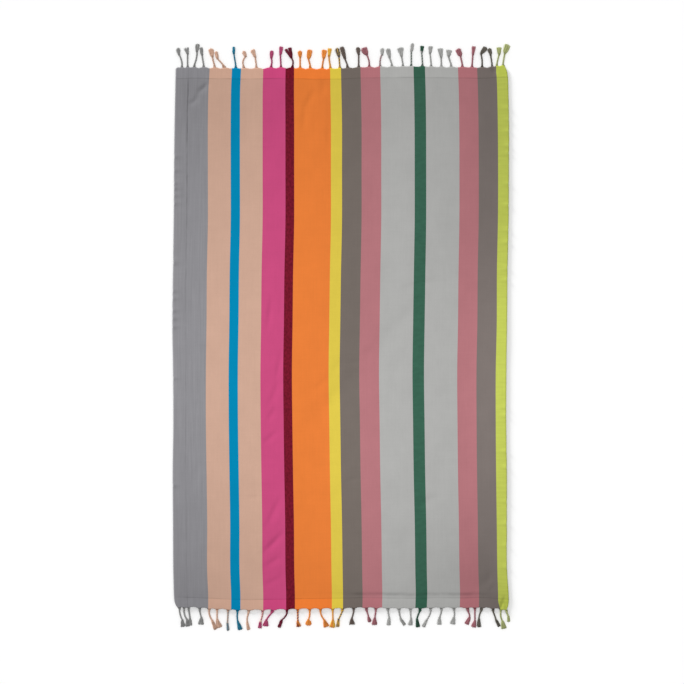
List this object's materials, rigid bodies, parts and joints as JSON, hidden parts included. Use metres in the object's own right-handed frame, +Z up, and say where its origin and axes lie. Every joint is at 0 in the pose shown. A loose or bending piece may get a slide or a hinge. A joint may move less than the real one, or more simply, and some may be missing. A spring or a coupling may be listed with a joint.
{
  "type": "beach towel",
  "caption": "Flat-woven striped cotton beach towel lying flat, with a fringe of twisted and knotted tassels along both short ends.",
  "frame": {"origin": "middle of the cloth's underside, on the surface that the towel lies on", "axes": "+X across the towel to its lime selvedge, +Y along it to its top end, +Z up out of the surface"},
  "size_m": [1.0081, 1.7598, 0.0062],
  "materials": {
    "striped_cotton": "matt plain weave in lengthways stripes",
    "fringe_yarn": "matt twisted cotton, frayed at the tips"
  },
  "bodies": {
    "root": {"towel_cloth": "striped_cotton", "fringe_top": "fringe_yarn", "fringe_bottom": "fringe_yarn"}
  },
  "joints": []
}
